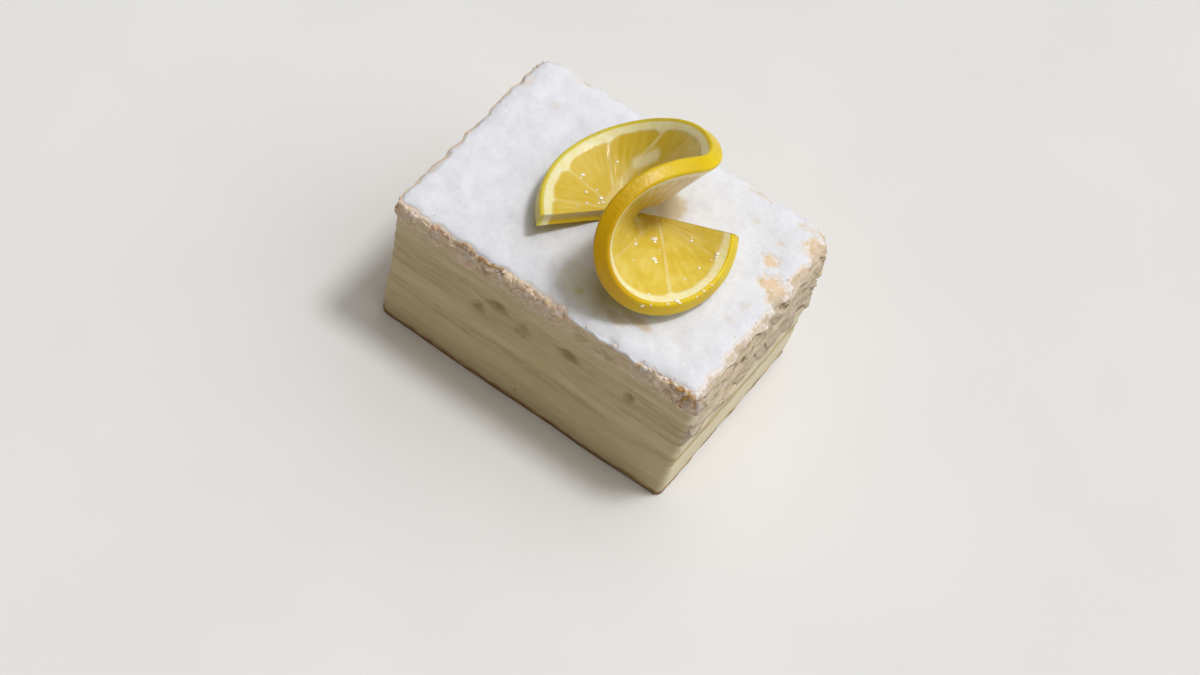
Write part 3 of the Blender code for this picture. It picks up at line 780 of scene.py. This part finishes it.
def lemon_frames():
    """For each step round the slice: the direction from the slit's end to the rim, and the one across it."""
    spoke = direction(LEMON_START_AZIMUTH, LEMON_START_RISE)
    across = spoke.cross(direction(LEMON_START_AZIMUTH - 90.0, LEMON_START_CLIMB)).normalized()
    frames = [(spoke, across)]
    turn = 2.0 * math.pi / LEMON_STEPS
    for step in range(LEMON_STEPS):
        degrees = math.degrees((step + 0.5) * turn)
        bend = sum(sharp * math.exp(-((degrees - place) / reach) ** 2) for place, reach, sharp in LEMON_BENDS)
        axis = (across + spoke * bend) * turn
        roll = Matrix.Rotation(axis.length, 3, axis.normalized())
        spoke = roll @ spoke
        across = roll @ across
        frames.append((spoke, across))
    return frames


def lemon_reach(turn):
    """How far the rim is from the slit's end, by the place round the slice in radians."""
    towards = LEMON_MIDDLE[0] * np.cos(turn) + LEMON_MIDDLE[1] * np.sin(turn)
    aside = LEMON_MIDDLE[0] * np.sin(turn) - LEMON_MIDDLE[1] * np.cos(turn)
    return towards + np.sqrt(LEMON_RADIUS ** 2 - aside ** 2)


def streak_share(x, y, streak):
    """How much a place of the flesh belongs to a pale streak."""
    start_x, start_y, end_x, end_y, half_width, strength = streak
    way_x = end_x - start_x
    way_y = end_y - start_y
    share = ((x - start_x) * way_x + (y - start_y) * way_y) / (way_x ** 2 + way_y ** 2)
    share = np.clip(share, 0.0, 1.0)
    apart = np.hypot(x - start_x - way_x * share, y - start_y - way_y * share) / half_width
    return strength * fade(0.4, 1.4, apart)


def lemon_marks(radius, turn):
    """What the cut face is at places on it, and where they lie from the slice's middle and from its core."""
    x = radius * np.cos(turn) - LEMON_MIDDLE[0]
    y = radius * np.sin(turn) - LEMON_MIDDLE[1]
    from_core = np.hypot(x - LEMON_CORE[0], y - LEMON_CORE[1])
    degrees = np.degrees(np.arctan2(y - LEMON_CORE[1], x - LEMON_CORE[0])) % 360.0
    nearest = np.full_like(x, 90.0)
    wander = 0.3 * ripple(from_core / 5.0, degrees / 40.0, 5.0)
    membrane = np.max([streak_share(x, y, streak) for streak in LEMON_STREAKS], axis=0)
    for place, strength in LEMON_MEMBRANES:
        apart = np.abs(np.abs(np.radians(degrees - place)) * from_core + wander)
        nearest = np.minimum(nearest, apart)
        membrane = np.maximum(membrane, strength * fade(0.05, 0.6, apart))
    away = np.hypot(x, y)
    edge = LEMON_FLESH - 1.1 * np.exp(-nearest / 1.3) + 0.4 * ripple(degrees / 9.0, 3.0, 8.0)
    flesh = fade(edge - 0.45, edge + 0.45, away)
    return {"middle": away, "core": from_core, "degrees": degrees, "flesh": flesh,
            "membrane": membrane * flesh}


def lemon_section(rim):
    """The points of each spoke's section: how far out, how high, and on which cut face or 0 on the rind."""
    flat_reach = LEMON_RADIUS - LEMON_ROUNDING
    flat_height = LEMON_THICKNESS / 2 - LEMON_ROUNDING
    ring = np.concatenate((np.linspace(1.0, 20.0, 34), np.linspace(20.0, flat_reach, 27)[1:]))
    start, end, least = LEMON_PINCH
    thick = least + (LEMON_THICKNESS / 2 - least) * smooth(start, end, ring)
    face = ring * (rim - LEMON_ROUNDING) / flat_reach
    bend = np.linspace(0.0, math.pi / 2, 5)[1:]
    bend_radius = rim - LEMON_ROUNDING + LEMON_ROUNDING * np.sin(bend)
    bend_height = flat_height + LEMON_ROUNDING * np.cos(bend)
    band = np.linspace(flat_height, -flat_height, 9)[1:-1]
    radius = np.hstack((face, bend_radius, rim * np.ones(len(band)), bend_radius[:, ::-1], face[:, ::-1]))
    height = np.concatenate((thick, bend_height, band, -bend_height[::-1], -thick[::-1]))
    side = np.zeros(len(height))
    side[:len(ring)] = 1.0
    side[-len(ring):] = -1.0
    return radius, height, side


def lemon_rows():
    """The lemon's points round each spoke's section, from the slit's end at nothing, and their marks."""
    spokes, acrosses = (np.array(ways)[:, None] for ways in zip(*lemon_frames()))
    turn = np.linspace(0.0, 2.0 * math.pi, LEMON_STEPS + 1)[:, None]
    radius, height, side = lemon_section(lemon_reach(turn))
    marks = lemon_marks(radius, turn)
    cut = np.abs(side)
    vesicle = ripple(marks["core"] / 5.0, np.radians(marks["degrees"]) * 13.0, 4.0 + side * 9.0)
    relief = cut * (marks["flesh"] * (0.09 * vesicle - 0.1) - 0.04 * marks["membrane"])
    peel = (1.0 - cut) * ripple(turn * LEMON_RADIUS / 0.8, height / 0.8, 2.0)
    lifted = height + np.sign(height) * relief * smooth(2.0, 5.0, radius)
    degrees = np.degrees(turn)
    marks["side"] = side
    # Painted shade: the rind turns amber round 262 degrees, on its lower side, which lies in shade.
    marks["amber"] = np.exp(-((degrees - 262.0) / 38.0) ** 2)
    marks["green"] = fade(110.0, 175.0, degrees)
    # Painted shade, with a deeper flesh colour: the flesh turns deep amber on one cut face as far round as
    # the arch, where it lies in shade, fading out by 250 degrees, and less over the whole other face.
    marks["deep"] = np.where(side > 0.0, 0.9 * fade(205.0, 250.0, degrees), 0.4 * cut)
    return spokes * (radius + 0.04 * peel)[..., None] + acrosses * lifted[..., None], marks


def lemon_move(points):
    """How far the lemon's points have to move to lie where its solid does, in millimetres."""
    low, high = (np.array(corner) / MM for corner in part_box("lemon_twist"))
    flat = points.reshape(-1, 3)
    return (low + high) / 2 - (flat.min(axis=0) + flat.max(axis=0)) / 2


def build_lemon(points, marks, material):
    """The twisted slice of lemon."""
    shape = Shape(*marks)
    rows = shape.add(points, **marks)
    shape.sheet(np.concatenate((rows, rows[:, :1]), axis=1)[:, ::-1])
    half = rows.shape[1] // 2
    for end, turned in ((rows[0], False), (rows[-1], True)):
        facing = np.stack((end[:half], end[::-1][:half]))
        shape.sheet(facing if turned else facing[:, ::-1])
    return shape.piece("lemon_twist_look", material, "lemon", ("lemon_twist",))


def sight_line(camera, pixel_x, pixel_y):
    """The direction in which the camera sees a pixel of the photograph."""
    focal = CAMERA_LENS / SENSOR_WIDTH * PICTURE_SIZE[0]
    seen = Vector((pixel_x - PICTURE_SIZE[0] / 2, PICTURE_SIZE[1] / 2 - pixel_y, -focal))
    return (camera.matrix_world.to_3x3() @ seen).normalized()


def add_lump(shape, centre, normal, size, flat, seed, stretch=1.0, **marks):
    """A small rounded lump that sits on a surface, longer one way than the other if it is stretched."""
    side = normal.orthogonal().normalized()
    side, other, up = np.array((side, normal.cross(side), normal))
    polar = np.linspace(0.0, math.pi, LUMP_RINGS + 1)[1:-1, None, None]
    turn = np.linspace(0.0, 2.0 * math.pi, LUMP_SIDES, endpoint=False)[:, None]
    way = np.sin(polar) * (np.cos(turn) * stretch * side + np.sin(turn) / stretch * other)
    bumps = way * 1.6 + np.cos(polar) * up + (seed, 0.0, 0.0)
    swell = 1.0 + 0.22 * ripple(*np.moveaxis(bumps, -1, 0))
    middle = np.array(centre)
    numbers = shape.add(middle + (way + np.cos(polar) * flat * up) * (size * swell)[..., None], **marks)
    top, bottom = shape.add((middle + up * (flat * size), middle - up * (flat * size)), **marks)
    shape.bridge(numbers[::-1])
    shape.fan(numbers[0], top, True)
    shape.fan(numbers[-1], bottom, False)


def build_glint_beads(lemon, camera, material):
    """Beads of juice on the lemon, nearly white as painted glints, where the camera of the photograph sees
    them.
    """
    tree = BVHTree.FromObject(lemon, bpy.context.evaluated_depsgraph_get())
    shape = Shape()
    for number, (pixel_x, pixel_y, size) in enumerate(GLINT_BEADS):
        way = sight_line(camera, pixel_x, pixel_y)
        place, normal, _, _ = tree.ray_cast(camera.matrix_world.translation, way)
        if place is not None:
            stretch = 1.2 + 0.5 * noise.noise((number * 1.7, 2.0, 5.0))
            add_lump(shape, place / MM, normal, 3.6 * size ** 2 + 0.12, 0.55, number * 3.1, stretch)
    return shape.piece("juice_glint_beads_look", material, "lemon")


def build_crumbs(material, surface):
    """Small crumbs and clumps of sugar near the lip."""
    points, _, inside = surface
    draw = random.Random(CRUMB_SEED)
    shape = Shape()
    near_rim = points[(inside > 0.3) & (inside < 3.0)]
    up = Vector((0.0, 0.0, 1.0))
    for number in range(CRUMB_COUNT):
        place = Vector(near_rim[draw.randrange(len(near_rim))])
        add_lump(shape, place + up * 0.2, up, draw.uniform(0.15, 0.32), draw.uniform(0.5, 0.9), number)
    for number, (x, size) in enumerate(LIP_CLUMPS):
        y = -WIDTH / 2 + draw.uniform(-0.1, 0.5)
        add_lump(shape, Vector((x, y, top_height(x, y))), up, size, 0.8, number * 1.7)
    return shape.piece("loose_crumbs_look", material, "icing_sugar")


class Look:
    """A node material in the making."""

    def __init__(self, name, roughness, soft=None, **sockets):
        """Soft is how much light goes into the surface, and how far its red, green and blue go in metres."""
        self.material = bpy.data.materials.new(name)
        self.material.use_nodes = True
        self.tree = self.material.node_tree
        self.shader = self.tree.nodes["Principled BSDF"]
        sockets["Roughness"] = roughness
        if soft:
            sockets.update(Subsurface_Weight=soft[0], Subsurface_Radius=soft[1], Subsurface_Scale=1.0)
        for socket, value in sockets.items():
            self.shader.inputs[socket.replace("_", " ")].default_value = value

    def feed(self, socket, value):
        """Links a value to a socket of the shader."""
        self.tree.links.new(value, self.shader.inputs[socket])

    def node(self, kind, inputs=(), **settings):
        """A new node with its settings, and with its inputs set or linked."""
        node = self.tree.nodes.new(kind)
        for setting, value in settings.items():
            setattr(node, setting, value)
        for socket, value in dict(inputs).items():
            if isinstance(value, bpy.types.NodeSocket):
                self.tree.links.new(value, node.inputs[socket])
            else:
                node.inputs[socket].default_value = value
        return node

    def sum(self, first, second, operation="ADD"):
        return self.node("ShaderNodeMath", {0: first, 1: second}, operation=operation).outputs[0]

    def times(self, first, second):
        return self.sum(first, second, "MULTIPLY")

    def mark(self, name):
        """A mark of the mesh's points."""
        return self.node("ShaderNodeAttribute", attribute_name=name).outputs["Fac"]

    def places(self, size, offset=0.0, vector=None):
        """Where a texture is read, for features of the given size in millimetres along X, Y and Z."""
        inputs = {"Vector": vector or self.node("ShaderNodeTexCoord").outputs["Object"],
                  "Scale": [1.0 / MM / length for length in size], "Location": (offset, offset, offset)}
        return self.node("ShaderNodeMapping", inputs).outputs[0]

    def noise(self, places, detail):
        inputs = {"Vector": places, "Scale": 1.0, "Detail": detail, "Roughness": 0.55}
        return self.node("ShaderNodeTexNoise", inputs).outputs["Fac"]

    def grain(self, wide, tall, detail=3.0, offset=0.0):
        """A noise whose features are so many millimetres wide and tall."""
        return self.noise(self.places((wide, wide, tall), offset), detail)

    def step(self, value, low, high, bottom=0.0, top=1.0):
        """Goes softly from bottom to top as the value goes from low to high."""
        inputs = {"Value": value, "From Min": low, "From Max": high, "To Min": bottom, "To Max": top}
        return self.node("ShaderNodeMapRange", inputs, interpolation_type="SMOOTHSTEP").outputs["Result"]

    def ramp(self, value, *stops):
        """Colours that follow a value, each from its place on."""
        node = self.node("ShaderNodeValToRGB", {"Fac": value})
        elements = node.color_ramp.elements
        while len(elements) < len(stops):
            elements.new(0.5)
        for element, (place, colour) in zip(elements, stops):
            element.position = place
            element.color = (*colour, 1.0)
        return node.outputs["Color"]

    def mix(self, share, first, second):
        """Goes from the first colour to the second as the share goes from 0 to 1."""
        first, second = ((*c, 1.0) if isinstance(c, tuple) else c for c in (first, second))
        return self.node("ShaderNodeMix", {0: share, 6: first, 7: second}, data_type="RGBA").outputs[2]

    def bump(self, height, depth, strength=0.6):
        """Gives the surface a fine relief of a depth in millimetres."""
        inputs = {"Height": height, "Distance": depth * MM, "Strength": strength}
        self.feed("Normal", self.node("ShaderNodeBump", inputs).outputs[0])

    def layer(self, share, colours, end_colours):
        """Colours a layer by a share, in its own way on the dry right end, with the spot of bare custard.
        For the cream, the darker colours of the cut faces are partly painted shade.
        """
        tint = self.mix(self.mark("end"), self.mix(share, *colours), self.mix(share, *end_colours))
        self.feed("Base Color", self.mix(self.mark("yolk"), tint, YOLK_COLOUR))


def pastry_look():
    """Soaked pastry: pale, with tan streaks that run along the leaves, and drier on the flaky end."""
    look = Look("pastry_inner", 0.72, (0.12, PASTRY_DEPTHS))
    streaks = look.step(look.grain(11.0, 1.5, 2.0), 0.38, 0.66, 0.0, 0.75)
    clouds = look.step(look.grain(6.0, 3.0, 2.0, 3.0), 0.4, 0.7, 0.0, 0.35)
    look.layer(look.sum(streaks, clouds), ((0.63, 0.51, 0.29), (0.52, 0.40, 0.215)), END_COLOURS)
    look.bump(look.grain(1.5, 0.5, 4.0), 0.15)
    return look.material


def crust_look():
    """The upper sheet: soaked and pale low on the cut, browned at the lip, caramel at one corner."""
    look = Look("pastry_crust", 0.72, (0.10, PASTRY_DEPTHS))
    tone = look.sum(look.mark("tone"), look.step(look.grain(3.0, 0.6, 5.0), 0.3, 0.7, -0.16, 0.16))
    baked = look.ramp(tone, (0.0, (0.63, 0.50, 0.29)), (0.25, (0.82, 0.65, 0.47)), (0.5, (0.81, 0.59, 0.42)),
                      (0.75, (0.50, 0.32, 0.18)), (1.0, (0.56, 0.31, 0.09)))
    streaks = look.step(look.grain(9.0, 0.8, 3.0, 4.0), 0.35, 0.65)
    tint = look.mix(look.times(look.mark("end"), 0.85), baked, look.mix(streaks, *END_COLOURS))
    speckle = look.step(look.grain(1.3, 1.3, 3.0, 7.0), 0.3, 0.7, -0.3, 0.3)
    dust = look.step(look.sum(look.mark("dust"), speckle), 0.1, 1.0)
    look.feed("Base Color", look.mix(dust, tint, (0.86, 0.82, 0.81)))
    look.bump(look.grain(1.0, 0.4, 4.0), 0.2)
    return look.material


def base_look():
    """The base sheet: dark brown, paler towards the cream."""
    look = Look("pastry_base", 0.75)
    mottle = look.step(look.grain(4.0, 0.8, 4.0), 0.35, 0.65, -0.25, 0.25)
    share = look.sum(mottle, look.step(look.mark("level"), 0.1, 1.0))
    stops = ((0.0, (0.25, 0.14, 0.05)), (0.35, (0.42, 0.27, 0.12)), (0.9, (0.66, 0.52, 0.31)))
    look.feed("Base Color", look.ramp(share, *stops))
    look.bump(look.grain(1.0, 0.5, 4.0), 0.3)
    return look.material


def cream_look():
    """Set custard cream: pale yellow, close and soft, with faint smears of the knife."""
    look = Look("custard_cream", 0.5, (0.25, (0.003, 0.0022, 0.0012)))
    smears = look.grain(12.0, 2.0, 2.0)
    clouds = look.step(look.grain(5.0, 3.0, 2.0, 5.0), 0.4, 0.75, 0.0, 0.3)
    share = look.sum(look.step(smears, 0.35, 0.7, 0.0, 0.6), clouds)
    # The first pair is for the cut faces, darker and browner partly as painted shade; the second for the lit
    # right end.
    look.layer(share, ((0.66, 0.54, 0.305), (0.58, 0.46, 0.24)), ((0.78, 0.70, 0.49), (0.70, 0.62, 0.42)))
    look.feed("Roughness", look.step(smears, 0.3, 0.7, 0.42, 0.62))
    look.bump(look.grain(0.9, 0.6, 4.0), 0.12)
    return look.material


def sugar_look():
    """Icing sugar: white with faint lilac grey mottling, tinted where it is thin or wet with juice, and with
    painted shadow under the lemon.
    """
    look = Look("icing_sugar", 0.9, (0.15, (0.001, 0.001, 0.001)))
    fine = look.grain(1.1, 1.1, 4.0, 9.0)
    mottle = look.step(look.grain(5.0, 5.0, 4.0), 0.35, 0.68, 0.0, 0.6)
    mottle = look.sum(mottle, look.step(fine, 0.4, 0.7, 0.0, 0.4))
    white = look.mix(mottle, (0.83, 0.855, 0.925), (0.75, 0.76, 0.83))
    depth = look.sum(look.mark("depth"), look.step(fine, 0.3, 0.7, -0.04, 0.04))
    # Juice stains and painted shadow under the lemon: a green grey or an amber tint.
    juice_and_shadow_tint = look.mix(look.mark("amber"), (0.66, 0.66, 0.44), (0.56, 0.41, 0.17))
    white = look.mix(look.mark("wet"), white, juice_and_shadow_tint)
    look.feed("Base Color", look.mix(look.step(depth, -0.04, 0.24, 0.9, 0.0), white, (0.80, 0.69, 0.58)))
    look.bump(look.grain(0.5, 0.5, 4.0), 0.06)
    return look.material


def lemon_look():
    """The lemon: waxy rind, white pith, pale membranes and wet translucent flesh, with painted shade
    on the rind's lower side and on the flesh under the arch.
    """
    look = Look("lemon", 0.3, (0.3, (0.003, 0.0022, 0.0006)), Specular_IOR_Level=0.3, Coat_Weight=0.05,
                Coat_Roughness=0.2)
    scales = (("core", MM), ("degrees", MM * 0.23), ("side", MM))
    polar = [look.times(look.mark(name), scale) for name, scale in scales]
    polar = look.node("ShaderNodeCombineXYZ", enumerate(polar)).outputs[0]
    vesicles = look.noise(look.places((5.0, 1.0, 0.2), 0.0, polar), 3.0)
    clouds = look.step(look.grain(6.0, 6.0, 2.0), 0.3, 0.7, 0.1, 0.7)
    ripe = look.sum(look.step(vesicles, 0.3, 0.7, 0.0, 0.3), clouds)
    flesh = look.ramp(ripe, (0.0, (0.70, 0.495, 0.05)), (0.5, (0.75, 0.57, 0.08)), (1.0, (0.82, 0.67, 0.17)))
    # Painted shade with deeper flesh: the flesh turns deep amber where it lies in shade under the arch.
    flesh = look.mix(look.mark("deep"), flesh, (0.64, 0.42, 0.01))
    pith = look.mix(look.step(look.grain(1.5, 1.5), 0.35, 0.65), (0.90, 0.85, 0.55), (0.87, 0.79, 0.38))
    peel = look.step(look.grain(9.0, 9.0, 2.0), 0.35, 0.65)
    peel = look.mix(peel, (0.82, 0.62, 0.002), (0.74, 0.52, 0.002))
    # Painted shade: the rind turns a darker amber on its lower side.
    peel = look.mix(look.times(look.mark("amber"), 0.95), peel, (0.60, 0.34, 0.003))
    peel = look.mix(look.times(look.mark("green"), 0.5), peel, (0.66, 0.63, 0.12))
    face = look.mix(look.mark("flesh"), pith, flesh)
    face = look.mix(look.mark("membrane"), face, (0.88, 0.79, 0.46))
    rind = look.step(look.mark("middle"), *LEMON_RIND)
    look.feed("Base Color", look.mix(rind, face, peel))
    look.feed("Roughness", look.step(look.mark("flesh"), 0.2, 0.8, 0.36, 0.15))
    pitted = {"Vector": look.places((0.9, 0.9, 0.9)), "Scale": 1.0}
    dimples = look.node("ShaderNodeTexVoronoi", pitted, feature="SMOOTH_F1").outputs["Distance"]
    look.bump(look.sum(look.times(vesicles, look.mark("flesh")), look.times(dimples, rind)), 0.2, 0.5)
    return look.material


def glint_bead_look():
    """Beads of juice: nearly white as painted glints, with a wet coat."""
    look = Look("juice_glint_bead", 0.16, Coat_Weight=1.0, Coat_Roughness=0.12, Specular_IOR_Level=0.9)
    tint = look.step(look.grain(2.0, 2.0, 2.0), 0.3, 0.7)
    # Nearly white: painted glints of light on the wet flesh.
    look.feed("Base Color", look.mix(tint, (0.97, 0.93, 0.72), (0.98, 0.97, 0.88)))
    return look.material


def add_camera():
    """The camera of the photograph."""
    data = bpy.data.cameras.new("camera")
    data.lens = CAMERA_LENS
    data.sensor_width = SENSOR_WIDTH
    data.clip_start = 0.01
    camera = add_object("camera", data)
    turn = Vector(CAMERA_AHEAD).to_track_quat("-Z", "Y").to_matrix()
    turn @= Matrix.Rotation(math.radians(CAMERA_ROLL), 3, "Z")
    camera.matrix_world = Matrix.Translation(Vector(CAMERA_PLACE) * MM) @ turn.to_4x4()
    bpy.context.scene.camera = camera
    return camera


def add_light():
    """A warm surround and two soft suns."""
    world = bpy.data.worlds.new("studio")
    world.use_nodes = True
    background = world.node_tree.nodes["Background"]
    background.inputs["Color"].default_value, background.inputs["Strength"].default_value = SURROUND
    bpy.context.scene.world = world
    for name, azimuth, elevation, strength, softness, colour in SUNS:
        data = bpy.data.lights.new(name, "SUN")
        data.energy = strength
        data.angle = math.radians(softness)
        data.color = colour
        towards = direction(azimuth, elevation)
        add_object(name, data).rotation_euler = towards.to_track_quat("Z", "Y").to_euler()
    bpy.context.scene.view_settings.view_transform = "Standard"


def add_floor():
    """A plain pale floor."""
    data = bpy.data.meshes.new("floor")
    data.from_pydata([(x * FLOOR_HALF, y * FLOOR_HALF, 0.0) for x, y in CORNER_SIGNS], [], [(0, 1, 2, 3)])
    look = Look("floor", 0.6)
    mottle = look.step(look.grain(60.0, 60.0, 2.0), 0.3, 0.7)
    look.feed("Base Color", look.mix(mottle, (0.78, 0.78, 0.78), (0.80, 0.80, 0.80)))
    data.materials.append(look.material)
    floor = add_object("floor", data)


def build_slice():
    """All of the slice but the lemon: the layers from the bottom up, then the sugar and the scraps."""
    line = outline_at(*(edge_of_grid(values) for values in unit_square()))
    inner = (pastry_look(), "pastry_inner")
    crust = crust_look()
    cream = (cream_look(), "custard_cream")
    looks = ((base_look(), "pastry_base"), cream, inner, cream, inner, cream)
    pieces = [build_layer(number, line, *look) for number, look in enumerate(looks)]
    surface = top_surface()
    sugar = sugar_look()
    pieces += [build_top(line, surface, crust), build_sugar(line, surface, sugar), build_flakes(crust),
               build_crumbs(sugar, surface)]
    return pieces


def centre(pieces, move):
    """Moves the slice's pieces as the solids were moved, to centre the whole over the origin in plan."""
    shift = (move[:2] - LEMON_SLIT_END) * MM
    for obj in pieces:
        obj.data.transform(Matrix.Translation((*shift, 0.0)))


photo_camera = add_camera()
add_light()
add_floor()
lemon_points, lemon_values = lemon_rows()
to_solid = lemon_move(lemon_points)
centre(build_slice(), to_solid)
lemon_twist = build_lemon(lemon_points + to_solid, lemon_values, lemon_look())
build_glint_beads(lemon_twist, photo_camera, glint_bead_look())

bpy.context.view_layer.update()
